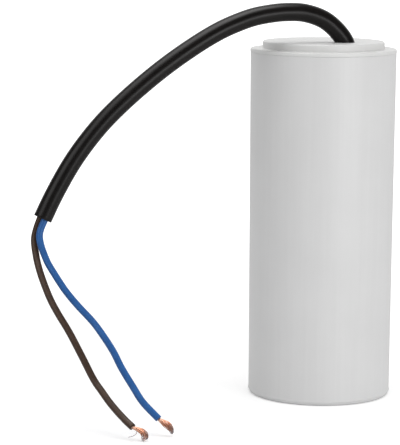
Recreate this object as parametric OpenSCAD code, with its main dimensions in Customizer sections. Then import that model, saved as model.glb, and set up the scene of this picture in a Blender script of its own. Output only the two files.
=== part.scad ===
// Motor run capacitor in a round plastic can, with a two-core cable through its lid.
// Millimetres. The origin is the middle of the face that the can stands on, and +Z is up.
// The cable leaves the lid, arches over towards -X and -Y, and its bare ends touch the
// surface that the can stands on.

/* [Can] */
// Outer diameter of the can at its rim
can_rim_d = 50; // [46:0.5:56]
// How much narrower the foot is than the rim, for the mould's draft
can_taper = 1; // [0:0.1:2]
// Height of the can from its foot to its rim
can_h = 118.8; // [112:0.1:124]
// Thickness of the can's wall
wall_t = 1.8; // [1.2:0.1:2.2]
// Thickness of the can's floor
floor_t = 2; // [1.5:0.1:3]
// Depth of the recess under the floor
recess_depth = 0.6; // [0.3:0.1:1.2]
// Width of the foot ring round the recess
foot_w = 3; // [2:0.5:6]
// Radius of the outer edge at the foot
foot_edge_r = 1; // [0.4:0.1:1.2]
// Radius of the inner corner between floor and wall
floor_corner_r = 1.2; // [0.6:0.1:2]
// Height above the foot at which the draft starts
draft_start = 5; // [4.5:0.5:8]

/* [Floor ribs] */
// Number of radial ribs that the winding stands on
rib_count = 4; // [3:1:8]
// Height of the ribs above the floor
rib_h = 4; // [3.4:0.1:6]
// Thickness of each rib
rib_t = 1.6; // [1:0.1:2.5]
// Distance of each rib's inner end from the axis
rib_inner_r = 13; // [12:0.5:16]

/* [Lid] */
// Thickness of the flange that lies on the can's rim
flange_t = 1.2; // [0.8:0.1:2]
// How far the flange stands out past the can's rim
flange_lip = 0.1; // [0:0.05:0.4]
// Radius of the flange's upper edge
flange_edge_r = 0.4; // [0.2:0.1:0.6]
// Width of the shoulder between the flange's edge and the raised disc
shoulder_w = 4.2; // [3.6:0.1:7]
// Height of the raised disc above the flange
disc_h = 2.5; // [1.6:0.1:4]
// Radius of the disc's upper edge
disc_edge_r = 0.5; // [0.2:0.1:0.8]
// Thickness of the lid's plate
plate_t = 1.8; // [1.2:0.1:2.4]
// Depth of the skirt below the flange
skirt_depth = 6; // [4:0.5:8]
// Thickness of the skirt
skirt_t = 1.6; // [1.2:0.1:2]
// Chamfer that leads the skirt into the can
skirt_lead = 0.5; // [0.3:0.1:0.8]
// Gap between the skirt and the can's wall
skirt_gap = 0.1; // [0.05:0.05:0.2]
// Radius of the snap bead's section
bead_r = 0.5; // [0.4:0.05:0.7]
// Distance of the snap bead's middle below the rim
bead_drop = 2.5; // [1.5:0.25:3]
// How far the snap bead stands out of the skirt
bead_h = 0.3; // [0.2:0.05:0.35]
// Gap between the snap bead and its groove
bead_gap = 0.1; // [0.05:0.05:0.15]

/* [Cable gland] */
// Distance of the cable hole's axis from the can's, along X
cable_x = 7.5; // [4:0.5:9]
// Distance of the cable hole's axis from the can's, along Y
cable_y = -6; // [-8:0.5:0]
// Gap between the sheath and its hole
gland_gap = 0.1; // [0.05:0.05:0.3]
// Thickness of the collar round the hole
collar_t = 1.5; // [1:0.1:2.5]
// Height of the collar below the plate
collar_h = 4; // [2:0.5:6]

/* [Winding] */
// Thickness of the resin between the winding and the can's wall, at the foot
potting_gap = 1.4; // [0.6:0.1:3]
// Length of the film winding
winding_l = 85; // [75:0.5:88]
// Outer diameter of the tube that the film is wound on
mandrel_d = 8; // [7:0.5:12]
// Bore of that tube
mandrel_bore_d = 5; // [4:0.25:6]
// Thickness of the tape wrapped round the winding
wrap_t = 0.3; // [0.2:0.05:0.5]
// Thickness of the sprayed metal on each end
spray_t = 0.6; // [0.4:0.1:1]
// Space between the resin and the lid's skirt
resin_gap = 0.8; // [0.4:0.1:2]

/* [Solder joints] */
// Diameter of a solder joint
joint_d = 5; // [4:0.5:6]
// Height of a solder joint
joint_h = 2.4; // [2:0.1:2.8]
// Radius of a solder joint's edge
joint_edge_r = 0.9; // [0.5:0.1:1.2]

/* [Cable] */
// Outer diameter of the cable's sheath
sheath_d = 6.2; // [5.9:0.1:7]
// Bore of the sheath
sheath_bore_d = 4.9; // [4.9:0.1:5.2]
// Depth of the sheath's inner end in the resin
sheath_grip = 4; // [2:0.5:6]
// Diameter of each insulated core
core_d = 2.3; // [1.9:0.05:2.3]
// Gap between the two cores inside the sheath
core_gap = 0.05; // [0.04:0.01:0.06]
// Diameter of the bare bundle of strands
bundle_d = 1.3; // [0.9:0.1:1.5]
// Diameter of the tinned end in each solder joint
tinned_d = 1.1; // [0.9:0.05:1.1]

/* [Hidden] */
$fn = 96;

// How far a cutting shape runs past the face that it cuts
cut = 1;
// Sides of the sheath, of a core and of a bundle of strands
sheath_sides = 12;
core_sides = 8;
bundle_sides = 24;
// Lobes of a bundle of strands, their depth as a share of its radius,
// and the turn of the bundle from one ring to the next
bundle_lobes = 6;
lobe_depth = 0.08;
bundle_turn = 25;

// Radii of the can, outside and in its bore, at a height
rim_r = can_rim_d / 2;
foot_r = rim_r - can_taper / 2;
function outer_r(z) = z < draft_start ? foot_r
    : foot_r + (rim_r - foot_r) * (z - draft_start) / (can_h - draft_start);
function bore_r(z) = outer_r(z) - wall_t;

// Heights, from the floor up
floor_z = recess_depth + floor_t;
element_z = floor_z + rib_h;
winding_z = element_z + spray_t;
element_top_z = winding_z + winding_l + spray_t;
skirt_z = can_h - skirt_depth;
resin_top_z = skirt_z - resin_gap;
sheath_inner_z = resin_top_z - sheath_grip;
bead_z = can_h - bead_drop;
shoulder_z = can_h + flange_t;
lid_top_z = shoulder_z + disc_h;
plate_z = lid_top_z - plate_t;

// The skirt is straight and fits the bore at the skirt's lower end
skirt_r = bore_r(skirt_z) - skirt_gap;
flange_r = rim_r + flange_lip;
disc_r = flange_r - shoulder_w;
gland_r = sheath_d / 2 + gland_gap;
// Radius of the winding with its tape, and diameter of the winding alone
element_r = bore_r(floor_z) - potting_gap;
winding_d = 2 * (element_r - wrap_t);

// Straight length of the sheath above the lid
sheath_rise = 1.2;
// Level direction across the cable's arch, towards -Y
arch_side = [0.39, -0.92, 0];
// Distance of each core's axis from the sheath's, and the pair's turn about it
core_offset = (core_d + core_gap) / 2;
core_turn = 65;

// Route of the sheath, from its end in the resin
sheath_route = [
    [cable_x, cable_y, sheath_inner_z],
    [cable_x, cable_y, lid_top_z + sheath_rise],
    [5.7, -6.8, 125.8],
    [3.2, -8.3, 128.1],
    [0.2, -10.1, 130.3],
    [-4.5, -12.2, 132.3],
    [-9, -14, 133.1],
    [-19.6, -18, 132.5],
    [-31.5, -23, 128.9],
    [-44, -28, 121.7],
    [-54.5, -32.5, 114],
    [-65.4, -37, 104.6],
    [-73.6, -40.5, 96.3],
    [-82.4, -44, 84.1],
    [-87.7, -46, 74.3],
    [-91.2, -48, 66.4]
];

// Routes of the cores past the sheath's outer end
blue_outer_route = [
    [-91.9, -50, 61.1],
    [-89.5, -52, 53.6],
    [-86.6, -54, 49.2],
    [-82.5, -56, 43.7],
    [-78.6, -57.5, 39.5],
    [-73.3, -59.5, 34.4],
    [-70, -61.5, 30.6],
    [-66.3, -63.5, 25.5],
    [-63.6, -65, 20.7],
    [-59.6, -67, 14.8],
    [-56.5, -69, 10.6],
    [-51, -71, 5.4]
];
brown_outer_route = [
    [-93.8, -48.2, 60.2],
    [-93, -50.6, 54.7],
    [-91.5, -53.5, 50.2],
    [-89.6, -56, 45.9],
    [-87.3, -58.5, 41.4],
    [-84.8, -60.5, 37.5],
    [-80.8, -63, 31.8],
    [-76.2, -66, 24.2],
    [-72, -68.5, 17],
    [-69.5, -70.5, 14.1],
    [-66.2, -73, 10.4],
    [-61.5, -76, 6.1],
    [-58.8, -78, 4.2]
];

// Routes of the bare strands past the cores' outer ends. They hook over and touch the surface.
blue_strand_route = [
    [-49.2, -71.5, 4.3],
    [-47.6, -72, 3.3],
    [-46.7, -72.5, 2],
    [-46.7, -72.5, 0.8]
];
brown_strand_route = [
    [-56.8, -78.5, 3.5],
    [-55.4, -79, 2.6],
    [-54.9, -79.5, 1.5],
    [-55.8, -80, 0.7]
];

// Height between the winding and the sheath's inner end, as a share of that space
function fan_z(share) = element_top_z + share * (sheath_inner_z - element_top_z);
// Gaps between the winding's ends and the wires that lie along them
blue_clearance = 0.05;
brown_clearance = 0.15;
blue_rest_z = element_top_z + core_d / 2 + blue_clearance;
brown_rest_z = element_z - tinned_d / 2 - brown_clearance;
// Straight stretch of the brown core's line at each end of the mandrel
mandrel_inset = 1.5;
// Ends of the insulation
blue_strip = [-4, -12.5, blue_rest_z];
brown_strip = [0, 0, winding_z + mandrel_inset];

// Routes of the cores from their inner ends up to the sheath
blue_inner_route = [
    blue_strip,
    [-0.5, -11.5, blue_rest_z],
    [3, -10, fan_z(0.2)],
    [5.5, -8.5, fan_z(0.45)],
    [6.8, -7.3, fan_z(0.75)]
];
brown_inner_route = [
    brown_strip,
    [0, 0, element_top_z - mandrel_inset],
    [0.8, -0.6, fan_z(0.15)],
    [3.2, -2, fan_z(0.4)],
    [6.5, -4.2, fan_z(0.7)]
];
// Tinned ends, from the cut insulation into the solder
blue_tinned_route = [
    blue_strip,
    [-7.5, -13.5, blue_rest_z]
];
brown_tinned_route = [
    brown_strip,
    [0, 0, element_z + 1],
    [0.4, 0, element_z + 0.1],
    [1.5, 0, brown_rest_z],
    [8.8, 0, brown_rest_z]
];
// Middles of the solder joints on the sprayed ends
upper_joint_at = [-6.5, -13.2, element_top_z];
lower_joint_at = [8, 0, element_z];

// ---- Sweeps along a route ----

function first_of(list) = list[0];
function last_of(list) = list[len(list) - 1];
function all_but_first(list) = [for (i = [1 : len(list) - 1]) list[i]];
function all_but_last(list) = [for (i = [0 : len(list) - 2]) list[i]];
function unit(v) = v / norm(v);
function run(route, i) = unit(route[i + 1] - route[i]);
function heading(route, i) =
    i == 0 ? run(route, 0)
    : i == len(route) - 1 ? run(route, i - 1)
    : unit(run(route, i - 1) + run(route, i));

// A station is a point of the route with the two directions across it
function stations(route) = [
    for (i = [0 : len(route) - 1])
        let (t = heading(route, i), n = unit(cross(arch_side, t)))
            [route[i], n, cross(t, n)]
];
function across(station, angle) = cos(angle) * station[1] + sin(angle) * station[2];
// The line that runs beside another at a distance and an angle
function beside(line, reach, angle) = [
    for (s = line) [s[0] + reach * across(s, angle), s[1], s[2]]
];
// A core runs from its inner end to the sheath, beside the sheath's axis, and out again
function core_line(inner, outer, angle) =
    let (held = beside(sheath_line, core_offset, angle))
        concat(
            all_but_last(stations(concat(inner, [first_of(held)[0]]))),
            held,
            all_but_first(stations(concat([last_of(held)[0]], outer)))
        );

// Bare strands carry on from the face where their core's insulation is cut
function strand_line(core, route) =
    concat([last_of(core)], all_but_first(stations(concat([last_of(core)[0]], route))));

function round_section(d, sides) = [for (k = [1 : sides]) d / 2];
function lobed_section(d) = [
    for (k = [1 : bundle_sides])
        d / 2 * (1 - lobe_depth + lobe_depth * cos(360 * bundle_lobes * k / bundle_sides))
];
// Points of one ring for each station
function ring_points(line, radii, turn = 0) = [
    for (i = [0 : len(line) - 1], k = [0 : len(radii) - 1])
        line[i][0] + radii[k] * across(line[i], 360 * k / len(radii) + turn * i)
];
// Triangles between two rings whose points start at a and at b
function band(a, b, sides) = [
    for (k = [0 : sides - 1])
        let (m = (k + 1) % sides)
            each [[a + k, b + k, b + m], [a + k, b + m, a + m]]
];
function skin(rings, sides) = [
    for (i = [0 : rings - 2]) each band(i * sides, (i + 1) * sides, sides)
];
// Triangles from a middle point to a ring whose points start at a
function fan(middle, a, sides) = [
    for (k = [0 : sides - 1]) [middle, a + k, a + (k + 1) % sides]
];
function shifted(faces, by) = [for (f = faces) f + [by, by, by]];
function turned(faces) = [for (f = faces) [f[0], f[2], f[1]]];

// Solid sweep of a section that is given by its radii
module swept(line, radii, turn = 0) {
    sides = len(radii);
    count = len(line) * sides;
    polyhedron(
        points = concat(
            ring_points(line, radii, turn),
            [first_of(line)[0], last_of(line)[0]]
        ),
        faces = concat(
            skin(len(line), sides),
            fan(count, 0, sides),
            turned(fan(count + 1, count - sides, sides))
        )
    );
}

// Round sweep with a bore
module swept_tube(line, d, bore_d, sides) {
    count = len(line) * sides;
    polyhedron(
        points = concat(
            ring_points(line, round_section(d, sides)),
            ring_points(line, round_section(bore_d, sides))
        ),
        faces = concat(
            skin(len(line), sides),
            turned(shifted(skin(len(line), sides), count)),
            turned(band(0, count, sides)),
            band(count - sides, 2 * count - sides, sides)
        )
    );
}

sheath_line = stations(sheath_route);
blue_line = core_line(blue_inner_route, blue_outer_route, core_turn);
brown_line = core_line(brown_inner_route, brown_outer_route, core_turn + 180);

// ---- Shapes that pieces share ----

// Cutter that rounds a convex corner at the origin of a section that lies towards -X,
// and towards -Y for an upper corner or +Y for a lower one
module corner_cutter(r, upper) {
    difference() {
        translate([-r, upper ? -r : -cut])
            square([r + cut, r + cut]);
        translate([-r, upper ? -r : r])
            circle(r);
    }
}

// Half section of the can's bore from its floor to a height
module bore_section(top) {
    difference() {
        polygon([
            [0, floor_z],
            [bore_r(floor_z), floor_z],
            [bore_r(draft_start), draft_start],
            [bore_r(top), top],
            [0, top]
        ]);
        translate([bore_r(floor_z), floor_z])
            corner_cutter(floor_corner_r, false);
    }
}

// Ribs on the floor, sunk into the floor and the wall that carry them
module floor_ribs() {
    for (i = [0 : rib_count - 1])
        rotate(360 * i / rib_count)
            translate([rib_inner_r, -rib_t / 2, floor_z - floor_t / 2])
                cube([
                    foot_r - wall_t / 2 - rib_inner_r,
                    rib_t,
                    rib_h + floor_t / 2
                ]);
}

// Section of the snap bead, or of its groove with a gap
module bead_section(gap) {
    translate([skirt_r + bead_h - bead_r, bead_z])
        circle(bead_r + gap);
}

module ring_solid(d, bore_d, h) {
    difference() {
        cylinder(d = d, h = h);
        translate([0, 0, -cut])
            cylinder(d = bore_d, h = h + 2 * cut);
    }
}

// Rounded button of solder that stands on the origin
module solder_button() {
    rotate_extrude()
        difference() {
            square([joint_d / 2, joint_h]);
            translate([joint_d / 2, joint_h])
                corner_cutter(joint_edge_r, true);
        }
}

module upper_button() {
    translate(upper_joint_at)
        solder_button();
}

module lower_button() {
    translate(lower_joint_at)
        mirror([0, 0, 1])
            solder_button();
}

module blue_tin() {
    swept(stations(blue_tinned_route), round_section(tinned_d, core_sides));
}

module brown_tin() {
    swept(stations(brown_tinned_route), round_section(tinned_d, core_sides));
}

module blue_wire() {
    swept(blue_line, round_section(core_d, core_sides));
}

module brown_wire() {
    swept(brown_line, round_section(core_d, core_sides));
}

module strand_bundle(core, route) {
    swept(strand_line(core, route), lobed_section(bundle_d), bundle_turn);
}

// ---- Sub-parts ----

module can() {
    color("gainsboro") {
        rotate_extrude()
            difference() {
                polygon([
                    [0, recess_depth],
                    [foot_r - foot_w, recess_depth],
                    [foot_r - foot_w, 0],
                    [foot_r, 0],
                    [foot_r, draft_start],
                    [rim_r, can_h],
                    [0, can_h]
                ]);
                translate([foot_r, 0])
                    corner_cutter(foot_edge_r, false);
                bore_section(can_h + cut);
                bead_section(bead_gap);
            }
        floor_ribs();
    }
}

module lid() {
    skirt_inner_r = skirt_r - skirt_t;
    disc_inner_r = disc_r - plate_t;
    color("whitesmoke")
        difference() {
            union() {
                rotate_extrude() {
                    difference() {
                        polygon([
                            [skirt_inner_r, skirt_z],
                            [skirt_r - skirt_lead, skirt_z],
                            [skirt_r, skirt_z + skirt_lead],
                            [skirt_r, can_h],
                            [flange_r, can_h],
                            [flange_r, shoulder_z],
                            [disc_r, shoulder_z],
                            [disc_r, lid_top_z],
                            [0, lid_top_z],
                            [0, plate_z],
                            [disc_inner_r, plate_z],
                            [disc_inner_r, can_h],
                            [skirt_inner_r, can_h]
                        ]);
                        translate([flange_r, shoulder_z])
                            corner_cutter(flange_edge_r, true);
                        translate([disc_r, lid_top_z])
                            corner_cutter(disc_edge_r, true);
                    }
                    bead_section(0);
                }
                translate([cable_x, cable_y, plate_z - collar_h])
                    cylinder(r = gland_r + collar_t, h = collar_h + plate_t / 2);
            }
            translate([cable_x, cable_y, plate_z - collar_h - cut])
                cylinder(r = gland_r, h = collar_h + plate_t + 2 * cut);
        }
}

module potting_resin() {
    color("tan")
        difference() {
            rotate_extrude()
                bore_section(resin_top_z);
            floor_ribs();
            translate([0, 0, element_z])
                cylinder(r = element_r, h = element_top_z - element_z);
            upper_button();
            lower_button();
            blue_tin();
            brown_tin();
            blue_wire();
            brown_wire();
            swept([sheath_line[0], sheath_line[1]], round_section(sheath_d, sheath_sides));
        }
}

module film_winding() {
    color("lightsteelblue")
        translate([0, 0, winding_z])
            ring_solid(winding_d, mandrel_d, winding_l);
}

module winding_mandrel() {
    color("ivory")
        translate([0, 0, element_z])
            ring_solid(mandrel_d, mandrel_bore_d, element_top_z - element_z);
}

module winding_wrap() {
    color("khaki")
        translate([0, 0, winding_z])
            ring_solid(2 * element_r, winding_d, winding_l);
}

module end_spray() {
    ring_solid(2 * element_r, mandrel_d, spray_t);
}

module upper_end_spray() {
    color("darkgray")
        translate([0, 0, winding_z + winding_l])
            end_spray();
}

module lower_end_spray() {
    color("darkgray")
        translate([0, 0, element_z])
            end_spray();
}

module upper_solder_joint() {
    color("silver")
        difference() {
            upper_button();
            blue_tin();
        }
}

module lower_solder_joint() {
    color("silver")
        difference() {
            lower_button();
            brown_tin();
        }
}

module blue_tinned_end() {
    color("silver")
        blue_tin();
}

module brown_tinned_end() {
    color("silver")
        brown_tin();
}

module cable_sheath() {
    color("#262626")
        swept_tube(sheath_line, sheath_d, sheath_bore_d, sheath_sides);
}

module blue_core() {
    color("#2f62a3")
        blue_wire();
}

module brown_core() {
    color("#503a2e")
        brown_wire();
}

module blue_strands() {
    color("#c98a6b")
        strand_bundle(blue_line, blue_strand_route);
}

module brown_strands() {
    color("#c98a6b")
        strand_bundle(brown_line, brown_strand_route);
}

can();
lid();
potting_resin();
film_winding();
winding_mandrel();
winding_wrap();
upper_end_spray();
lower_end_spray();
upper_solder_joint();
lower_solder_joint();
blue_tinned_end();
brown_tinned_end();
cable_sheath();
blue_core();
brown_core();
blue_strands();
brown_strands();
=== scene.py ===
"""A motor run capacitor: a film winding potted in a round plastic can, with a two-core cable."""

import math
import random

import bpy
from mathutils import Euler, Matrix, Vector


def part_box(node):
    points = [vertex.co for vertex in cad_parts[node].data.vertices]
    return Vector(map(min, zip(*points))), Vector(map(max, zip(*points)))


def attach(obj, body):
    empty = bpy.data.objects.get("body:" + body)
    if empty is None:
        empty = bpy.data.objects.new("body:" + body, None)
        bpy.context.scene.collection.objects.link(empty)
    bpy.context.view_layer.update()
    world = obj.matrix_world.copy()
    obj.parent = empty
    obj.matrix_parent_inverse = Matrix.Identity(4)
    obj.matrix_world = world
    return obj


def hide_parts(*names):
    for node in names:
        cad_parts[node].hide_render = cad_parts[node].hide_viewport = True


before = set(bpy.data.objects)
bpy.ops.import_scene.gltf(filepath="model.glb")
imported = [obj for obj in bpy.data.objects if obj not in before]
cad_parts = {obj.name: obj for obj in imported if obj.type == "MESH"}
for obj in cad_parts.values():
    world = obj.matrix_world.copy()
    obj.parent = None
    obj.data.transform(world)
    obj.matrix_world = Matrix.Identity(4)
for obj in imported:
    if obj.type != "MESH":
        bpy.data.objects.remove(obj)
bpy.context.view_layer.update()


# ---- The winding ----
# Metallised polypropylene film is wound on a moulded tube and wrapped in polyester tape. Zinc is
# then sprayed on both ends, where it joins the edges of the film. All of it is inside the can.

# One millimetre, in metres
MM = 0.001


def linear(code):
    """The linear colour of an sRGB hex code."""
    channels = [int(code[i : i + 2], 16) / 255 for i in (1, 3, 5)]
    return [
        c / 12.92 if c <= 0.04045 else ((c + 0.055) / 1.055) ** 2.4 for c in channels
    ] + [1.0]


def add(tree, kind, inputs=None, stops=None, **settings):
    """Adds a node with its settings, its inputs' values or links, and a ramp's stops."""
    node = tree.nodes.new(kind)
    for name, value in settings.items():
        setattr(node, name, value)
    for name, value in (inputs or {}).items():
        if isinstance(value, bpy.types.NodeSocket):
            tree.links.new(value, node.inputs[name])
        else:
            node.inputs[name].default_value = value
    for number, (position, code) in enumerate(stops or []):
        held = node.color_ramp.elements
        element = held[number] if number < 2 else held.new(position)
        element.position = position
        element.color = linear(code)
    return node


def new_material(name):
    """An empty node material, its tree and the object's own coordinates."""
    material = bpy.data.materials.new(name)
    material.use_nodes = True
    tree = material.node_tree
    tree.nodes.clear()
    place = add(tree, "ShaderNodeTexCoord").outputs["Object"]
    return material, tree, place


def finish_material(tree, surface):
    """Adds the shader with its inputs and joins it to the material's output."""
    shader = add(tree, "ShaderNodeBsdfPrincipled", surface)
    add(tree, "ShaderNodeOutputMaterial", {"Surface": shader.outputs["BSDF"]})


def dress(node_name, material):
    """Gives a CAD node its material."""
    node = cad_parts[node_name]
    if node.material_slots:
        for held in node.material_slots:
            held.material = material
    else:
        node.data.materials.append(material)


def grained_material(name, grain, detail, colours, depth, surface, stretch=None):
    """A finish with a grain of one width, in two colours and raised by a depth. A stretch
    below 1 draws the grain out along that axis."""
    material, tree, place = new_material(name)
    if stretch:
        drawn_out = add(tree, "ShaderNodeMapping", {"Vector": place, "Scale": stretch})
        place = drawn_out.outputs["Vector"]
    noise = add(
        tree,
        "ShaderNodeTexNoise",
        {"Vector": place, "Scale": 1 / grain, "Detail": detail},
    )
    shade = add(
        tree, "ShaderNodeValToRGB", {"Fac": noise.outputs["Fac"]}, stops=colours
    )
    relief = add(
        tree, "ShaderNodeBump", {"Height": noise.outputs["Fac"], "Distance": depth}
    )
    finish_material(
        tree,
        {
            "Base Color": shade.outputs["Color"],
            **surface,
            "Normal": relief.outputs["Normal"],
        },
    )
    return material


# Metallised film: 6 micrometre film wound on itself, so the side shows soft bands along the
# turns' edges. The bands are drawn 0.8 mm wide, as the real ones are too fine to show.
film = grained_material(
    "metallised_film",
    grain=0.8 * MM,
    detail=2.0,
    colours=[(0.3, "#9aa4ad"), (0.7, "#c3cad0")],
    depth=0.01 * MM,
    surface={"Metallic": 0.7, "Roughness": 0.28},
    stretch=(1, 1, 0.15),
)
dress("film_winding", film)

# Natural polypropylene: the winding tube is moulded and left its own milky colour, with a
# faint grain of 1 mm from the mould.
natural = grained_material(
    "natural_polypropylene",
    grain=1.0 * MM,
    detail=2.0,
    colours=[(0.35, "#d9d5c4"), (0.65, "#e6e2d4")],
    depth=0.01 * MM,
    surface={"Roughness": 0.45, "IOR": 1.49},
)
dress("winding_mandrel", natural)

# Polyester tape: thin amber film with soft wrinkles 3 mm apart that run round the winding.
tape = grained_material(
    "polyester_tape",
    grain=3 * MM,
    detail=3.0,
    colours=[(0.3, "#b79c58"), (0.7, "#cdb676")],
    depth=0.08 * MM,
    surface={"Roughness": 0.22, "IOR": 1.57},
    stretch=(0.25, 0.25, 1),
)
dress("winding_wrap", tape)

# Sprayed zinc: molten drops that froze on the film's edges, so it is matt, dull and as rough
# as 0.4 mm grit.
zinc = grained_material(
    "sprayed_zinc",
    grain=0.4 * MM,
    detail=6.0,
    colours=[(0.3, "#7d8083"), (0.7, "#a9acae")],
    depth=0.12 * MM,
    surface={"Metallic": 1.0, "Roughness": 0.62},
)
dress("upper_end_spray", zinc)
dress("lower_end_spray", zinc)


# ---- The solder joints ----
# The cores' ends are tinned and soldered to the sprayed zinc in one rounded button each: the
# blue one on the upper end, and the brown one on the lower end, through the winding's tube.

# Solder: froze from the melt, so it is smooth with dull flow patches 0.8 mm wide.
solder, tree, place = new_material("tin_solder")
patches = add(
    tree,
    "ShaderNodeTexNoise",
    {"Vector": place, "Scale": 1 / (0.8 * MM), "Detail": 2.0},
)
shade = add(
    tree,
    "ShaderNodeValToRGB",
    {"Fac": patches.outputs["Fac"]},
    stops=[(0.3, "#b4b6b7"), (0.7, "#cfd0d0")],
)
gloss = add(
    tree,
    "ShaderNodeMapRange",
    {"Value": patches.outputs["Fac"], "To Min": 0.18, "To Max": 0.38},
)
relief = add(
    tree, "ShaderNodeBump", {"Height": patches.outputs["Fac"], "Distance": 0.03 * MM}
)
finish_material(
    tree,
    {
        "Base Color": shade.outputs["Color"],
        "Metallic": 1.0,
        "Roughness": gloss.outputs["Result"],
        "Normal": relief.outputs["Normal"],
    },
)
dress("upper_solder_joint", solder)
dress("lower_solder_joint", solder)

# Tinned copper: strands dipped in tin, so they show as ridges 0.2 mm apart under a bright skin.
tinned = grained_material(
    "tinned_copper",
    grain=0.2 * MM,
    detail=1.0,
    colours=[(0.35, "#c0bfbb"), (0.7, "#d6d5d2")],
    depth=0.04 * MM,
    surface={"Metallic": 1.0, "Roughness": 0.27},
)
dress("blue_tinned_end", tinned)
dress("brown_tinned_end", tinned)


# ---- The can ----
# Injection-moulded polypropylene cup with a slight draft. It stands on a ring, its underside is
# drawn in with the mark of the gate in the middle, and four ribs inside carry the winding.

can_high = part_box("can")[1]
rim_z = can_high.z
rim_r = can_high.x
# The can narrows by draft_in from its rim down to draft_z
draft_in = 0.5 * MM
draft_z = 5 * MM
foot_r = rim_r - draft_in
wall = 1.8 * MM
recess_z = 0.6 * MM
floor_t = 2 * MM
floor_z = recess_z + floor_t
foot_w = 3 * MM
foot_inner_r = foot_r - foot_w
bead_drop = 2.5 * MM
bead_z = rim_z - bead_drop
can_sides = 192
# How close to a place a point has to lie to be at it
tolerance = 0.01 * MM


def outer_r(z):
    """The can's outer radius at a height."""
    share = max(0.0, (z - draft_z) / (rim_z - draft_z))
    return foot_r + (rim_r - foot_r) * share


def pick(piece, wanted):
    """Selects the edges of the piece in edit mode whose two ends pass the test."""
    bpy.ops.mesh.select_mode(type="EDGE")
    bpy.ops.mesh.select_all(action="DESELECT")
    bpy.ops.object.mode_set(mode="OBJECT")
    points = piece.data.vertices
    for edge in piece.data.edges:
        edge.select = all(wanted(points[v].co) for v in edge.vertices)
    bpy.ops.object.mode_set(mode="EDIT")


def turn_up(name, rings):
    """Draws a circle out ring by ring, as (radius, height), into a closed turned shape.
    The first ring is filled, and the last is drawn together to a point."""
    bpy.ops.object.select_all(action="DESELECT")
    radius, height = rings[0]
    bpy.ops.mesh.primitive_circle_add(
        vertices=can_sides, radius=radius, fill_type="TRIFAN", location=(0, 0, height)
    )
    piece = bpy.context.active_object
    piece.name = name
    bpy.ops.object.transform_apply(location=True, rotation=True, scale=True)
    bpy.ops.object.mode_set(mode="EDIT")
    bpy.ops.mesh.select_mode(type="EDGE")
    bpy.ops.mesh.select_all(action="DESELECT")
    bpy.ops.mesh.select_non_manifold()
    for (r0, z0), (r1, z1) in zip(rings, rings[1:]):
        bpy.ops.mesh.extrude_edges_move(
            TRANSFORM_OT_translate={"value": (0, 0, z1 - z0)}
        )
        bpy.ops.transform.resize(
            value=(r1 / r0, r1 / r0, 1), center_override=(0, 0, z1)
        )
    bpy.ops.mesh.extrude_edges_move(TRANSFORM_OT_translate={"value": (0, 0, 0)})
    bpy.ops.mesh.merge(type="CENTER")
    bpy.ops.mesh.select_all(action="SELECT")
    bpy.ops.mesh.normals_make_consistent(inside=False)
    bpy.ops.object.mode_set(mode="OBJECT")
    return piece


def round_edges(piece, corners, steps=4):
    """Rounds the turned edges at (radius, height) by a radius each."""
    bpy.ops.object.mode_set(mode="EDIT")
    for radius, height, rounding in corners:
        pick(
            piece,
            lambda p, r=radius, z=height: (
                abs(p.z - z) < tolerance
                and abs(math.hypot(p.x, p.y) - r) < tolerance
            ),
        )
        bpy.ops.mesh.bevel(
            offset=rounding, segments=steps, profile=0.5, affect="EDGES"
        )
    bpy.ops.object.mode_set(mode="OBJECT")


def even_shading(piece, angle=30):
    """Smooths the shading below an angle and lets the broad faces lead it."""
    bpy.ops.object.select_all(action="DESELECT")
    piece.select_set(True)
    bpy.context.view_layer.objects.active = piece
    bpy.ops.object.shade_smooth_by_angle(angle=math.radians(angle))
    piece.modifiers.new("even", "WEIGHTED_NORMAL").keep_sharp = True
    bpy.ops.object.modifier_apply(modifier="even")


def combine(piece, tool, operation):
    """Joins a tool to the piece or cuts it out, and removes the tool."""
    bpy.ops.object.select_all(action="DESELECT")
    bpy.context.view_layer.objects.active = piece
    step = piece.modifiers.new("shape", "BOOLEAN")
    step.operation = operation
    step.solver = "EXACT"
    step.object = tool
    bpy.ops.object.modifier_apply(modifier="shape")
    bpy.data.objects.remove(tool)


# The foot's edge is rounded up to a fine ridge, where the two parts of the mould met
ridge = 0.12 * MM
ridge_z = 1.35 * MM
ridge_top = 1.8 * MM
foot_edge_in = 1.1 * MM
foot_edge_w = 0.95 * MM
foot_edge_h = 1.2 * MM
foot_edge = [
    (
        foot_r - foot_edge_in + foot_edge_w * math.sin(math.radians(a)),
        foot_edge_h * (1 - math.cos(math.radians(a))),
    )
    for a in (0, 20, 40, 60, 80)
]
# The groove for the lid's bead is a flattened arc in the bore
groove_r = 0.6 * MM
groove_flat = 0.6
groove = [
    (
        outer_r(bead_z) - wall + groove_r * math.cos(math.radians(a)) * groove_flat,
        bead_z + groove_r * math.sin(math.radians(a)),
    )
    for a in (75, 45, 15, -15, -45, -75)
]
# The gate's mark in the middle of the underside
gate_r = 1.2 * MM
gate_root_r = 1.5 * MM
gate_z = 0.25 * MM
can = turn_up(
    "can_body",
    [
        (gate_r, gate_z),
        (gate_root_r, recess_z),
        (foot_inner_r, recess_z),
        (foot_inner_r, 0),
        *foot_edge,
        (foot_r + ridge, ridge_z),
        (foot_r, ridge_top),
        (foot_r, draft_z),
        (rim_r, rim_z),
        (rim_r - wall, rim_z),
        *groove,
        (outer_r(draft_z) - wall, draft_z),
        (foot_r - wall, floor_z),
    ],
)
round_edges(
    can,
    [
        (foot_inner_r, 0, 0.3 * MM),
        (foot_inner_r, recess_z, 0.2 * MM),
        (rim_r, rim_z, 0.2 * MM),
        (rim_r - wall, rim_z, 0.2 * MM),
        (foot_r - wall, floor_z, 1.2 * MM),
    ],
)

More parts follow.
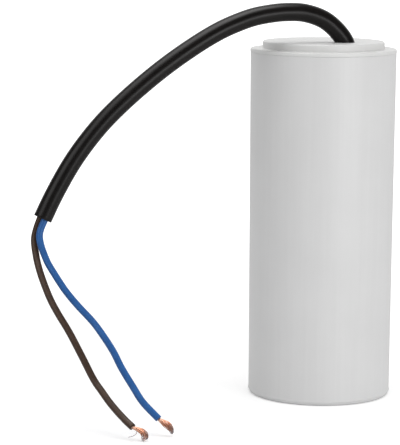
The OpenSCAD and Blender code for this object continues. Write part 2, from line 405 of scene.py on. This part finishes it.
# The ribs start in the wall and in the floor, so that they join both
rib_count = 4
rib_h = 4 * MM
rib_t = 1.6 * MM
rib_inner_r = 13 * MM
rib_outer_r = foot_r - wall / 2
rib_top = floor_z + rib_h
rib_low = floor_z - floor_t / 2
for number in range(rib_count):
    bpy.ops.object.select_all(action="DESELECT")
    bpy.ops.mesh.primitive_cube_add(size=1)
    rib = bpy.context.active_object
    rib.data.transform(
        Matrix.Rotation(math.radians(360 / rib_count * number), 4, "Z")
        @ Matrix.Translation(
            ((rib_inner_r + rib_outer_r) / 2, 0, (rib_top + rib_low) / 2)
        )
        @ Matrix.Diagonal((rib_outer_r - rib_inner_r, rib_t, rib_top - rib_low, 1))
    )
    combine(can, rib, "UNION")
even_shading(can)


def moulded_plastic(name, low, high):
    """Light grey polypropylene, moulded against fine spark-eroded steel: satin, with faint
    lengthwise draw marks from the mould, a soft unevenness where the plastic flowed and a
    grain that is drawn 0.35 mm coarse, as the real one is too fine to show."""
    material, tree, place = new_material(name)
    flow = add(
        tree,
        "ShaderNodeTexNoise",
        {"Vector": place, "Scale": 1 / (18 * MM), "Detail": 2.0},
    )
    tall = add(tree, "ShaderNodeMapping", {"Vector": place, "Scale": (1, 1, 0.03)})
    drawn = add(
        tree,
        "ShaderNodeTexNoise",
        {"Vector": tall.outputs["Vector"], "Scale": 1 / (1.6 * MM), "Detail": 3.0},
    )
    grain = add(
        tree,
        "ShaderNodeTexNoise",
        {"Vector": place, "Scale": 1 / (0.35 * MM), "Detail": 2.0},
    )
    both = add(
        tree,
        "ShaderNodeMix",
        {0: 0.45, 2: flow.outputs["Fac"], 3: drawn.outputs["Fac"]},
        data_type="FLOAT",
    )
    shade = add(
        tree,
        "ShaderNodeValToRGB",
        {"Fac": both.outputs[0]},
        stops=[(0.3, low), (0.7, high)],
    )
    gloss = add(
        tree,
        "ShaderNodeMapRange",
        {"Value": drawn.outputs["Fac"], "To Min": 0.36, "To Max": 0.5},
    )
    marks = add(
        tree,
        "ShaderNodeBump",
        {"Height": drawn.outputs["Fac"], "Distance": 0.012 * MM},
    )
    relief = add(
        tree,
        "ShaderNodeBump",
        {
            "Height": grain.outputs["Fac"],
            "Distance": 0.008 * MM,
            "Normal": marks.outputs["Normal"],
        },
    )
    finish_material(
        tree,
        {
            "Base Color": shade.outputs["Color"],
            "Roughness": gloss.outputs["Result"],
            "IOR": 1.49,
            "Normal": relief.outputs["Normal"],
        },
    )
    return material


can.data.materials.append(
    moulded_plastic("moulded_polypropylene", "#d2d2d2", "#d7d7d7")
)
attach(can, "root")
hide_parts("can")


# ---- The potting resin ----
# Two-part epoxy is poured round the winding up to the lid's skirt, so that the part is sealed
# and its heat reaches the can. It is cast, with soft clouds and a few settled specks.

resin, tree, place = new_material("cast_epoxy")
clouds = add(
    tree,
    "ShaderNodeTexNoise",
    {"Vector": place, "Scale": 1 / (9 * MM), "Detail": 3.0},
)
specks = add(tree, "ShaderNodeTexVoronoi", {"Vector": place, "Scale": 1 / (1.5 * MM)})
shade = add(
    tree,
    "ShaderNodeValToRGB",
    {"Fac": clouds.outputs["Fac"]},
    stops=[(0.3, "#a48a63"), (0.7, "#b89e76")],
)
relief = add(
    tree, "ShaderNodeBump", {"Height": specks.outputs["Distance"], "Distance": 0.02 * MM}
)
finish_material(
    tree,
    {
        "Base Color": shade.outputs["Color"],
        "Roughness": 0.3,
        "IOR": 1.55,
        "Normal": relief.outputs["Normal"],
    },
)
dress("potting_resin", resin)


# ---- The lid ----
# Moulded with the same plastic: a plate with a raised middle, a flange that lies on the can's
# rim, a skirt with a bead that snaps into the can, and a collar where the cable passes.

lid_low, lid_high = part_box("lid")
plate_top = lid_high.z
flange_r = lid_high.x
disc_h = 2.5 * MM
shoulder_z = plate_top - disc_h
shoulder_w = 4.2 * MM
disc_r = flange_r - shoulder_w
# Radius of the first ring, which is filled to make the disc's middle
middle_r = disc_r - 3 * MM
plate_t = 1.8 * MM
plate_under = plate_top - plate_t
skirt_low = lid_low.z
skirt_gap = 0.1 * MM
skirt_r = outer_r(skirt_low) - wall - skirt_gap
skirt_t = 1.6 * MM
skirt_lead = 0.5 * MM
cable_x = 7.5 * MM
cable_y = -6 * MM
hole_r = 3.2 * MM
hole_edge_r = 0.15 * MM
collar_t = 1.5 * MM
collar_h = 4 * MM
post_sides = 64

# The snap bead is an arc that stands a little way out of the skirt
bead_r = 0.5 * MM
bead_out = 0.3 * MM
bead = [
    (
        skirt_r + bead_out - bead_r + bead_r * math.cos(math.radians(a)),
        bead_z + bead_r * math.sin(math.radians(a)),
    )
    for a in (60, 36, 12, -12, -36, -60)
]
lid = turn_up(
    "lid_cap",
    [
        (middle_r, plate_top),
        (disc_r, plate_top),
        (disc_r, shoulder_z),
        (flange_r, shoulder_z),
        (flange_r, rim_z),
        (skirt_r, rim_z),
        *bead,
        (skirt_r, skirt_low + skirt_lead),
        (skirt_r - skirt_lead, skirt_low),
        (skirt_r - skirt_t, skirt_low),
        (skirt_r - skirt_t, rim_z),
        (disc_r - plate_t, rim_z),
        (disc_r - plate_t, plate_under),
    ],
)
round_edges(
    lid,
    [
        (disc_r, plate_top, 0.5 * MM),
        (disc_r, shoulder_z, 0.2 * MM),
        (flange_r, shoulder_z, 0.4 * MM),
        (flange_r, rim_z, 0.15 * MM),
        (disc_r - plate_t, plate_under, 0.3 * MM),
    ],
)


def cable_post(radius, low, high):
    """A round post on the cable's axis."""
    bpy.ops.object.select_all(action="DESELECT")
    bpy.ops.mesh.primitive_cylinder_add(
        vertices=post_sides,
        radius=radius,
        depth=high - low,
        location=(cable_x, cable_y, (low + high) / 2),
    )
    bpy.ops.object.transform_apply(location=True, rotation=True, scale=True)
    return bpy.context.active_object


collar_low = plate_under - collar_h
combine(
    lid,
    cable_post(hole_r + collar_t, collar_low, plate_under + plate_t / 2),
    "UNION",
)
# The cutting post runs past both faces that it cuts
past = 1 * MM
combine(lid, cable_post(hole_r, collar_low - past, plate_top + past), "DIFFERENCE")
bpy.context.view_layer.objects.active = lid
bpy.ops.object.mode_set(mode="EDIT")
pick(
    lid,
    lambda p: (
        abs(p.z - plate_top) < tolerance
        and abs(math.hypot(p.x - cable_x, p.y - cable_y) - hole_r) < tolerance
    ),
)
bpy.ops.mesh.bevel(offset=hole_edge_r, segments=2, profile=0.5, affect="EDGES")
bpy.ops.object.mode_set(mode="OBJECT")
even_shading(lid)
# The lid is the can's plastic, but its colours are a shade lighter than the can's: painted
# light, for the light that its top catches.
lid.data.materials.append(
    moulded_plastic("moulded_polypropylene_lid_painted_lighter", "#d6d6d5", "#dadad9")
)
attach(lid, "root")
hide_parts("lid")


# ---- The cable's sheath ----
# Black PVC, extruded round over the two cores. Its inner end is held in the resin, it leaves
# through the lid, and it is cut off square.

sheath_d = 6.2 * MM
sheath_bore = 4.9 * MM
sheath_sides = 72
# Distance between the points of a cord's line
line_step = 1 * MM
# Level direction across the cable's arch, from which the places round it are counted
arch_side = Vector((0.39, -0.92, 0))
# Height of the inner end in the resin, and the route from inside the lid on, in millimetres
sheath_low = 108
sheath_route = [
    (7.5, -6, 122),
    (1.36, -8.62, 129.35),
    (-6.04, -11.82, 132.53),
    (-13.2, -14.8, 132.98),
    (-19.07, -17.29, 132.38),
    (-23.55, -19.18, 131.49),
    (-28.03, -21.17, 129.99),
    (-34.21, -23.76, 127.3),
    (-42.49, -27.26, 122.41),
    (-54.18, -32.25, 114.02),
    (-66.37, -37.44, 103.43),
    (-73.85, -40.64, 95.55),
    (-81.33, -43.83, 85.37),
    (-87.46, -46.44, 74.32),
    (-91.15, -47.98, 66.37),
]


def smooth_line(route, step, start=None):
    """Points about a step apart on one smooth curve through a route in millimetres. Where
    given, start is the direction in which it sets out."""
    points = [Vector(p) * MM for p in route]
    before = points[0] - (start or points[1] - points[0])
    after = points[-1] + (points[-1] - points[-2])
    held = [before, *points, after]
    line = []
    for a, b, c, d in zip(held, held[1:], held[2:], held[3:]):
        # Centripetal spacing keeps the curve from swinging out between uneven points
        t1 = math.sqrt((b - a).length)
        t2 = t1 + math.sqrt((c - b).length)
        t3 = t2 + math.sqrt((d - c).length)
        count = max(1, round((c - b).length / step))
        for i in range(count):
            t = t1 + (t2 - t1) * i / count
            ab = a * ((t1 - t) / t1) + b * (t / t1)
            bc = b * ((t2 - t) / (t2 - t1)) + c * ((t - t1) / (t2 - t1))
            cd = c * ((t3 - t) / (t3 - t2)) + d * ((t - t2) / (t3 - t2))
            abc = ab * ((t2 - t) / t2) + bc * (t / t2)
            bcd = bc * ((t3 - t) / (t3 - t1)) + cd * ((t - t1) / (t3 - t1))
            line.append(abc * ((t2 - t) / (t2 - t1)) + bcd * ((t - t1) / (t2 - t1)))
    return [*line, points[-1]]


def frames(line):
    """The direction along a line at each point, with the two directions across it."""
    rows = []
    for i in range(len(line)):
        along = (line[min(i + 1, len(line) - 1)] - line[max(i - 1, 0)]).normalized()
        across = arch_side.cross(along).normalized()
        rows.append((along, across, along.cross(across)))
    return rows


def close_end(points, faces, middle, ring):
    """Closes a tube's end with a fan of triangles from its middle to a ring of points."""
    points.append(middle)
    for a, b in zip(ring, [*ring[1:], ring[0]]):
        faces.append((len(points) - 1, a, b))


def map_run(mesh, sides, around, lengths):
    """Lays out a tube's mesh as a strip: its place round the tube, and its length along it."""
    run = mesh.uv_layers.new(name="run")
    rings_end = len(lengths) * sides
    for face in mesh.polygons:
        wraps = sides - 1 in {v % sides for v in face.vertices if v < rings_end}
        for loop in face.loop_indices:
            v = mesh.loops[loop].vertex_index
            if v >= rings_end:
                v = face.vertices[1]
            k = v % sides
            if k == 0 and wraps:
                k = sides
            run.data[loop].uv = (around * k / sides, lengths[v // sides])


def tube(name, line, widths, sides, rows=None, hollow=False):
    """A closed mesh tube along a line, with a width at each point. Its UV map holds the place
    round and along the tube in metres. A hollow tube's line goes back down its bore, and its
    last ring meets its first."""
    rows = rows or frames(line)
    points, faces, lengths = [], [], []
    length = 0.0
    for i, (middle, width, (_, across, up)) in enumerate(zip(line, widths, rows)):
        length += (middle - line[i - 1]).length if i else 0.0
        lengths.append(length)
        for k in range(sides):
            angle = 2 * math.pi * k / sides
            out = math.cos(angle) * across + math.sin(angle) * up
            points.append(middle + width / 2 * out)
    for i in range(len(line) - 1):
        for k in range(sides):
            m = (k + 1) % sides
            faces.append(
                (i * sides + k, i * sides + m, (i + 1) * sides + m, (i + 1) * sides + k)
            )
    last_ring = (len(line) - 1) * sides
    if hollow:
        for k in range(sides):
            m = (k + 1) % sides
            faces.append((last_ring + k, last_ring + m, m, k))
    else:
        close_end(points, faces, line[0], range(sides - 1, -1, -1))
        close_end(points, faces, line[-1], range(last_ring, last_ring + sides))
    mesh = bpy.data.meshes.new(name)
    mesh.from_pydata(points, [], faces)
    map_run(mesh, sides, math.pi * widths[0], lengths)
    piece = bpy.data.objects.new(name, mesh)
    bpy.context.scene.collection.objects.link(piece)
    return piece


# The sheath sets out straight up through the gland
straight_up = Vector((0, 0, 5 * MM))
sheath_line = [
    Vector((cable_x, cable_y, z * MM)) for z in range(sheath_low, round(sheath_route[0][2]))
] + smooth_line(sheath_route, line_step, start=straight_up)
sheath_rows = frames(sheath_line)
end_at = sheath_line[-1]
end_along = sheath_rows[-1][0]
body_line = sheath_line[:-1]
body_rows = sheath_rows[:-1]
body_widths = [sheath_d] * len(body_line)
# The cut end, by how far each ring lies in from the outside and back from the end, in
# millimetres: a small rounding, a flat face and the bore's edge
for inset, back in (
    (0.0, 0.12),
    (0.03, 0.04),
    (0.1, 0.0),
    (0.35, 0.0),
    (0.62, 0.0),
    (0.65, 0.03),
    (0.65, 0.5),
):
    body_line.append(end_at - end_along * back * MM)
    body_widths.append(sheath_d - 2 * inset * MM)
    body_rows.append(sheath_rows[-1])
# The line goes back down the bore
for point, row in zip(sheath_line[-2::-1], sheath_rows[-2::-1]):
    body_line.append(point)
    body_widths.append(sheath_bore)
    body_rows.append(row)
sheath = tube(
    "cable_sheath_black", body_line, body_widths, sheath_sides, body_rows, hollow=True
)
sheath.data.shade_smooth()


def pvc(name, low, high, gloss_low, gloss_high, line_width, line_depth, shine):
    """Extruded PVC: satin, with fine lengthwise lines from the die and faint handling marks.
    The lines are drawn as wide as they need to show."""
    material, tree, place = new_material(name)
    run = add(tree, "ShaderNodeUVMap", uv_map="run").outputs["UV"]
    drawn_out = add(tree, "ShaderNodeMapping", {"Vector": run, "Scale": (1, 0.02, 1)})
    lines = add(
        tree,
        "ShaderNodeTexNoise",
        {
            "Vector": drawn_out.outputs["Vector"],
            "Scale": 1 / line_width,
            "Detail": 3.0,
        },
    )
    marks = add(
        tree,
        "ShaderNodeTexNoise",
        {"Vector": place, "Scale": 1 / (2.5 * MM), "Detail": 4.0},
    )
    both = add(
        tree,
        "ShaderNodeMix",
        {0: 0.5, 2: lines.outputs["Fac"], 3: marks.outputs["Fac"]},
        data_type="FLOAT",
    )
    shade = add(
        tree,
        "ShaderNodeValToRGB",
        {"Fac": both.outputs[0]},
        stops=[(0.35, low), (0.65, high)],
    )
    gloss = add(
        tree,
        "ShaderNodeMapRange",
        {"Value": marks.outputs["Fac"], "To Min": gloss_low, "To Max": gloss_high},
    )
    relief = add(
        tree, "ShaderNodeBump", {"Height": lines.outputs["Fac"], "Distance": line_depth}
    )
    finish_material(
        tree,
        {
            "Base Color": shade.outputs["Color"],
            "Roughness": gloss.outputs["Result"],
            "IOR": 1.53,
            "Specular IOR Level": shine,
            "Normal": relief.outputs["Normal"],
        },
    )
    return material


sheath.data.materials.append(
    pvc("black_pvc", "#0e0c0b", "#141110", 0.28, 0.34, 0.5 * MM, 0.02 * MM, 0.19)
)
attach(sheath, "root")
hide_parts("cable_sheath")


# ---- The cores ----
# PVC-insulated copper, blue and brown. They run side by side through the sheath, and past its
# end each hangs free down to the surface, where its insulation is cut off square.

core_d = 2.3 * MM
core_sides = 28
hidden_sides = 16
core_offset = 1.175 * MM
# Turn of the pair about the sheath's middle, which puts the blue core in front
core_turn = math.radians(65)
# Radius and depth of the hollow that the strands leave the insulation from
strip_bore = 0.72 * MM
strip_depth = 1.5 * MM
# Steps of a core's line that its free end keeps inside the sheath
held_steps = 6
# Routes in millimetres: from the solder joints up to the sheath, and on from its cut end
blue_hidden_route = [
    (-4, -12.5, 94),
    (-0.5, -11.5, 94),
    (3, -10, 95.84),
    (5.5, -8.5, 99.64),
    (6.8, -7.3, 104.2),
]
brown_hidden_route = [
    (0, 0, 8.7),
    (0, 0, 50),
    (0, 0, 91.3),
    (0.8, -0.6, 95.08),
    (3.2, -2, 98.88),
    (6.5, -4.2, 103.44),
]
blue_route = [
    (-91.9, -50, 61.1),
    (-89.5, -52, 53.6),
    (-86.6, -54, 49.2),
    (-82.5, -56, 43.7),
    (-78.6, -57.5, 39.5),
    (-73.3, -59.5, 34.4),
    (-70, -61.5, 30.6),
    (-66.3, -63.5, 25.5),
    (-63.6, -65, 20.7),
    (-59.6, -67, 14.8),
    (-56.5, -69, 10.6),
    (-51, -71, 5.4),
]
brown_route = [
    (-93.8, -48.2, 60.2),
    (-93, -50.6, 54.7),
    (-91.5, -53.5, 50.2),
    (-89.6, -56, 45.9),
    (-87.3, -58.5, 41.4),
    (-84.8, -60.5, 37.5),
    (-80.8, -63, 31.8),
    (-76.2, -66, 24.2),
    (-72, -68.5, 17),
    (-69.5, -70.5, 14.1),
    (-66.2, -73, 10.4),
    (-61.5, -76, 6.1),
    (-58.8, -78, 4.2),
]
blue_pvc = pvc("blue_pvc", "#22528f", "#2c62a2", 0.3, 0.42, 0.35 * MM, 0.012 * MM, 0.25)
brown_pvc = pvc("brown_pvc", "#35271f", "#49372b", 0.32, 0.46, 0.35 * MM, 0.02 * MM, 0.22)


def beside_sheath(angle):
    """The line of a core that lies in the sheath, from its inner end to its outer one."""
    return [
        p + core_offset * (math.cos(angle) * across + math.sin(angle) * up)
        for p, (_, across, up) in zip(sheath_line, sheath_rows)
    ]


def lead(name, angle, route, cad_node, material):
    """The free end of a core: it comes out of the sheath, and its cut insulation is hollow
    where the strands leave it."""
    held = beside_sheath(angle)[-held_steps - 1 :]
    line = smooth_line([tuple(p / MM) for p in held[::2]] + route, line_step)
    rows = frames(line)
    path = [tuple(p) for p in line]
    end = line.pop()
    along, across, up = rows.pop()
    widths = [core_d] * len(line)
    # The cut end: a small rounding, a flat face and the hollow
    for radius, back in (
        (core_d / 2, 0.1 * MM),
        (core_d / 2 - 0.03 * MM, 0.03 * MM),
        (core_d / 2 - 0.1 * MM, 0),
        (strip_bore, 0),
        (strip_bore - 0.02 * MM, 0.08 * MM),
        (strip_bore - 0.05 * MM, strip_depth),
    ):
        line.append(end - along * back)
        rows.append((along, across, up))
        widths.append(2 * radius)
    piece = tube(name, line, widths, core_sides, rows)
    piece.data.shade_smooth()
    piece.data.materials.append(material)
    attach(piece, "root")
    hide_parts(cad_node)
    return piece, path, end, along


def hidden_core(name, angle, route, cad_node, material):
    """The part of a core that is soldered, potted and sheathed."""
    held = beside_sheath(angle)[:-held_steps]
    beside = [tuple(p / MM) for p in [*held[::4], held[-1]]]
    line = smooth_line(route + beside, 2 * line_step)
    piece = tube(name, line, [core_d] * len(line), hidden_sides)
    piece.data.shade_smooth()
    piece.data.materials.append(material)
    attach(piece, "root")
    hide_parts(cad_node)


blue_lead, blue_path, blue_end, blue_along = lead(
    "blue_lead", core_turn, blue_route, "blue_core", blue_pvc
)
brown_lead, brown_path, brown_end, brown_along = lead(
    "brown_lead", core_turn + math.pi, brown_route, "brown_core", brown_pvc
)
hidden_core(
    "blue_core_inside", core_turn, blue_hidden_route, "blue_core", blue_pvc
)
hidden_core(
    "brown_core_inside",
    core_turn + math.pi,
    brown_hidden_route,
    "brown_core",
    brown_pvc,
)


# ---- The bare strands ----
# Each core holds fine copper wires laid in a twist. Past the insulation they are bare: pinched
# together and hooked over, with their tips spread, and one has come loose from the brown core.

strand_d = 0.21 * MM
strand_sides = 7
strand_step = 0.35 * MM
# Rings of strands round the one in the middle, by radius and number
strand_rings = ((0.2 * MM, 5), (0.34 * MM, 8), (0.46 * MM, 10))
# Length along the bundle in which a strand goes once round it
strand_pitch = 18 * MM
# Length of the strands in the insulation's hollow
strand_root = 1.2 * MM
# How far a strand waves to and fro on its way, and the turn of that wave in radians
strand_wave = 0.08 * MM
strand_wave_turn = 6
# Lowest place of a strand's middle, just clear of the surface
strand_low = strand_d / 2 + 0.05 * MM
# Routes in millimetres, from the cut insulation to the tips
blue_strand_route = [
    (-49.2, -71.5, 4.3),
    (-47.6, -72, 3.3),
    (-46.7, -72.5, 2),
    (-46.7, -72.5, 0.8),
]
brown_strand_route = [
    (-56.8, -78.5, 3.5),
    (-55.4, -79, 2.6),
    (-54.9, -79.5, 1.5),
    (-55.8, -80, 0.7),
]


def bare_copper():
    """Bare copper wire: drawn bright, and pale where the insulation kept it clean. Handling
    has dulled it to salmon further out, its cut tips are grey, and it has streaks 0.6 mm
    long."""
    material, tree, place = new_material("bare_copper")
    out = add(tree, "ShaderNodeAttribute", attribute_name="out")
    streaks = add(
        tree,
        "ShaderNodeTexNoise",
        {"Vector": place, "Scale": 1 / (0.6 * MM), "Detail": 2.0},
    )
    uneven = add(
        tree,
        "ShaderNodeMapRange",
        {"Value": streaks.outputs["Fac"], "To Min": -0.2, "To Max": 0.2},
    )
    reach = add(
        tree,
        "ShaderNodeMath",
        {0: out.outputs["Fac"], 1: uneven.outputs["Result"]},
        operation="ADD",
    )
    shade = add(
        tree,
        "ShaderNodeValToRGB",
        {"Fac": reach.outputs[0]},
        stops=[
            (0.0, "#f0d9cd"),
            (0.3, "#dfae94"),
            (0.55, "#d29679"),
            (0.8, "#c4957f"),
            (1.0, "#8b8488"),
        ],
    )
    relief = add(
        tree,
        "ShaderNodeBump",
        {"Height": streaks.outputs["Fac"], "Distance": 0.01 * MM},
    )
    finish_material(
        tree,
        {
            "Base Color": shade.outputs["Color"],
            "Metallic": 1.0,
            "Roughness": 0.42,
            "Normal": relief.outputs["Normal"],
        },
    )
    return material


copper = bare_copper()


def length_of(line):
    """The length of a line of points."""
    return sum((b - a).length for a, b in zip(line, line[1:]))


def strand_line(line, rows, radius, angle, chance, fullest, spread):
    """The line of one strand at its place beside the bundle's line. It bellies out most at the
    share of its free length where the bundle is fullest, and is cut at a length of its own."""
    cut = chance.uniform(0.84, 1.0)
    splay = chance.uniform(0.8, 1.5)
    lean = chance.uniform(-0.5, 0.5)
    phase = chance.uniform(0, 2 * math.pi)
    root = strand_root / length_of(line)
    own = []
    for i in range(round(cut * (len(line) - 1)) + 1):
        middle, (_, across, up) = line[i], rows[i]
        share = i / (len(line) - 1)
        free = max(0.0, (share - root) / (1 - root))
        belly = math.sin(math.pi * free ** (math.log(0.5) / math.log(fullest)))
        wide = 1 + splay * (belly + spread * free**3)
        wave = strand_wave * free * math.sin(strand_wave_turn * share + phase)
        out = radius * wide + wave
        twist = angle + 2 * math.pi * i * strand_step / strand_pitch + lean * share
        p = middle + out * (math.cos(twist) * across + math.sin(twist) * up)
        p.z = max(p.z, strand_low)
        own.append(p)
    return own


def strand(name, line, worn=False):
    """One strand along a line. Its attribute says how far out a point is, from 0 at the
    insulation to 1 at the tip, or 1 all along where the wire is worn."""
    wire = tube(name, line, [strand_d] * len(line), strand_sides)
    wire.data.shade_smooth()
    out = wire.data.attributes.new("out", "FLOAT", "POINT")
    last = len(line) - 1
    for v in range(len(wire.data.vertices)):
        out.data[v].value = 1.0 if worn else min(v // strand_sides, last) / last
    return wire


def strands(name, start, along, route, cad_node, seed, fullest, spread, loose=None):
    """A bundle of strands that leaves the insulation and follows a route, one mesh in all.
    The cut tips end spread or drawn in, and a loose strand has a route of its own."""
    chance = random.Random(seed)
    root = [tuple((start - along * strand_root) / MM), tuple(start / MM)]
    line = smooth_line(root + route, strand_step)
    rows = frames(line)
    places = [(0.0, 0.0)]
    for radius, count in strand_rings:
        places += [(radius, 2 * math.pi * k / count) for k in range(count)]
    wires = []
    for radius, angle in places:
        own = strand_line(line, rows, radius, angle, chance, fullest, spread)
        wires.append(strand(name + "_wire", own))
    if loose:
        wires.append(strand(name + "_wire", smooth_line(loose, strand_step), worn=True))
    bpy.ops.object.select_all(action="DESELECT")
    for wire in wires:
        wire.select_set(True)
    bpy.context.view_layer.objects.active = wires[0]
    bpy.ops.object.join()
    piece = bpy.context.active_object
    piece.name = name
    piece.data.materials.append(copper)
    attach(piece, "root")
    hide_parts(cad_node)
    return piece


blue_bundle = strands(
    "blue_strand_bundle",
    blue_end,
    blue_along,
    blue_strand_route,
    "blue_strands",
    5,
    fullest=0.52,
    spread=0.1,
)
brown_bundle = strands(
    "brown_strand_bundle",
    brown_end,
    brown_along,
    brown_strand_route,
    "brown_strands",
    11,
    fullest=0.66,
    spread=0.5,
    loose=[(-57.4, -78.4, 3.2), (-57.7, -79.0, 2.2), (-58.6, -79.6, 1.7), (-60.0, -80.0, 1.4)],
)


# ---- The studio ----
# A pale floor that fades into a white surround, a soft key light low at the front right and a
# soft light overhead. The camera stands a little above the lid and looks slightly down.

bpy.ops.object.select_all(action="DESELECT")
floor_size = 6
bpy.ops.mesh.primitive_plane_add(size=floor_size, location=(0, 0, 0))
floor = bpy.context.active_object
floor.name = "floor"

# White card: matt, and white to the eye. It glows a little where it is looked at, more so far
# from the object, and still shows the shadow under it.
paper, tree, place = new_material("white_card")
sight = add(tree, "ShaderNodeLightPath")
distance = add(tree, "ShaderNodeVectorMath", {0: place}, operation="LENGTH")
lift = add(
    tree,
    "ShaderNodeMapRange",
    {
        "Value": distance.outputs["Value"],
        "From Min": 0.12,
        "From Max": 0.5,
        "To Min": 0.3,
        "To Max": 0.75,
    },
)
lit = add(tree, "ShaderNodeBsdfDiffuse", {"Color": linear("#f0f0f0")})
level = add(
    tree,
    "ShaderNodeMath",
    {0: sight.outputs["Is Camera Ray"], 1: lift.outputs["Result"]},
    operation="MULTIPLY",
)
glow = add(
    tree, "ShaderNodeEmission", {"Color": (1, 1, 1, 1), "Strength": level.outputs[0]}
)
whole = add(tree, "ShaderNodeAddShader", {0: lit.outputs[0], 1: glow.outputs[0]})
add(tree, "ShaderNodeOutputMaterial", {"Surface": whole.outputs[0]})
floor.data.materials.append(paper)

world = bpy.data.worlds.new("studio")
bpy.context.scene.world = world
world.use_nodes = True
tree = world.node_tree
tree.nodes.clear()
sight = add(tree, "ShaderNodeLightPath")
mirrored = add(
    tree,
    "ShaderNodeMath",
    {0: sight.outputs["Is Glossy Ray"], 1: sight.outputs["Is Transmission Ray"]},
    operation="MAXIMUM",
)
seen = add(
    tree,
    "ShaderNodeMath",
    {0: sight.outputs["Is Camera Ray"], 1: mirrored.outputs[0]},
    operation="MAXIMUM",
)
way = add(tree, "ShaderNodeTexCoord").outputs["Generated"]
split = add(tree, "ShaderNodeSeparateXYZ", {"Vector": way})
# Gloss sees the white surround behind the object, a dark room in front of it, and two soft
# panels in that room: one overhead and a weaker one from the left. Each panel has the way
# towards it, the cosines at which it fades out and is full, and its strength
level = add(
    tree,
    "ShaderNodeMapRange",
    {"Value": split.outputs["Y"], "From Min": 0.35, "From Max": 0.85, "To Min": 0.1},
    interpolation_type="SMOOTHSTEP",
).outputs["Result"]
for aim, edge, middle, strength in (
    ((-0.15, 0.0, 0.99), 0.84, 0.94, 4.0),
    ((-0.56, -0.6, 0.57), 0.88, 0.98, 3.0),
):
    near = add(tree, "ShaderNodeVectorMath", {0: way, 1: aim}, operation="DOT_PRODUCT")
    panel = add(
        tree,
        "ShaderNodeMapRange",
        {
            "Value": near.outputs["Value"],
            "From Min": edge,
            "From Max": middle,
            "To Max": strength,
        },
        interpolation_type="SMOOTHSTEP",
    )
    level = add(
        tree,
        "ShaderNodeMath",
        {0: level, 1: panel.outputs["Result"]},
        operation="MAXIMUM",
    ).outputs[0]
level = add(
    tree,
    "ShaderNodeMix",
    {0: sight.outputs["Is Camera Ray"], 2: level, 3: 1.0},
    data_type="FLOAT",
)
dim = add(tree, "ShaderNodeBackground", {"Color": (1, 1, 1, 1), "Strength": 0.71})
bright = add(
    tree, "ShaderNodeBackground", {"Color": (1, 1, 1, 1), "Strength": level.outputs[0]}
)
sky = add(
    tree,
    "ShaderNodeMixShader",
    {0: seen.outputs[0], 1: dim.outputs[0], 2: bright.outputs[0]},
)
add(tree, "ShaderNodeOutputWorld", {"Surface": sky.outputs[0]})


def soft_light(name, place, aim, size, power):
    """A soft box at a place, turned towards an aim, with a power in watts."""
    lamp = bpy.data.lights.new(name, "AREA")
    lamp.shape = "RECTANGLE"
    lamp.size, lamp.size_y = size
    lamp.energy = power
    holder = bpy.data.objects.new(name, lamp)
    bpy.context.scene.collection.objects.link(holder)
    holder.location = place
    holder.rotation_euler = (Vector(aim) - Vector(place)).to_track_quat("-Z", "Y").to_euler()


soft_light(
    "key_light",
    place=(0.36, -0.47, 0.12),
    aim=(-0.03, -0.03, 0.09),
    size=(0.21, 0.21),
    power=0.8,
)
soft_light(
    "top_light",
    place=(0.0, -0.05, 0.95),
    aim=(-0.02, -0.02, 0.06),
    size=(0.6, 0.5),
    power=2.1,
)

# The camera's place, and its turns in radians
view_from = Vector((0, -0.8, 0.1764))
turn_right = -0.0524
look_down = 0.1456
tilt = 0.0079
camera_data = bpy.data.cameras.new("camera")
camera_data.sensor_width = 36
camera_data.lens = 188.45
camera_data.clip_start = 0.01
camera = bpy.data.objects.new("camera", camera_data)
bpy.context.scene.collection.objects.link(camera)
camera.matrix_world = (
    Matrix.Translation(view_from)
    @ Euler((math.pi / 2 - look_down, 0, -turn_right)).to_matrix().to_4x4()
    @ Matrix.Rotation(tilt, 4, "Z")
)
bpy.context.scene.camera = camera
bpy.context.scene.view_settings.view_transform = "Standard"
